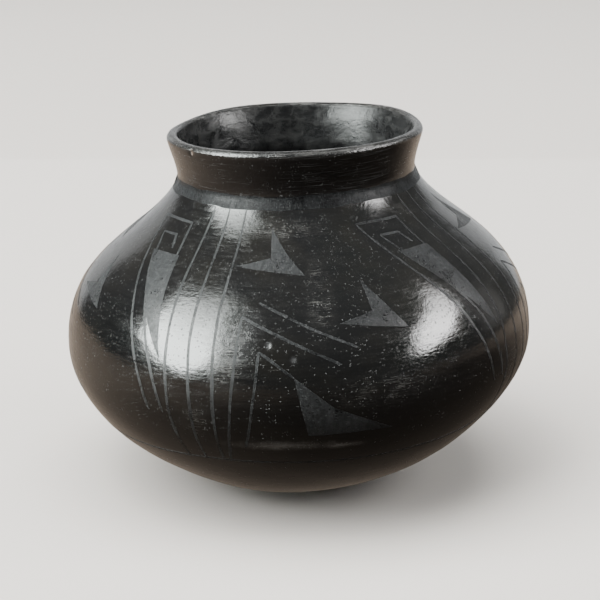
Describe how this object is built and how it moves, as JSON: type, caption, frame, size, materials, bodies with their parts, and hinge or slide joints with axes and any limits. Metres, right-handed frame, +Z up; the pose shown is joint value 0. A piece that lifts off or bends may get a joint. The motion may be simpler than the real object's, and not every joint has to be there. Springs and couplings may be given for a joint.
{
  "type": "clay olla jar",
  "caption": "Wide, low black clay jar with a round belly, short flared neck, rounded lip and small flat foot, for holding or display.",
  "frame": {"origin": "on the resting plane, under the middle of the belly", "axes": "+Z up, -Y towards the viewer of the painted front, +X to that viewer's right, where the courses tilt up"},
  "size_m": [0.1999, 0.2, 0.1556],
  "materials": {
    "burnished_clay": "stone-burnished, smoke-fired black, semi-gloss",
    "matte_slip": "matte painted slip, smoke-fired dark grey"
  },
  "bodies": {
    "root": {"base_tortilla": "burnished_clay", "lower_wall_coil": "burnished_clay", "lower_belly_coil": "burnished_clay", "belly_coil": "burnished_clay", "upper_belly_coil": "burnished_clay", "shoulder_coil": "burnished_clay", "neck_coil": "burnished_clay", "rim_coil": "burnished_clay"}
  },
  "joints": []
}
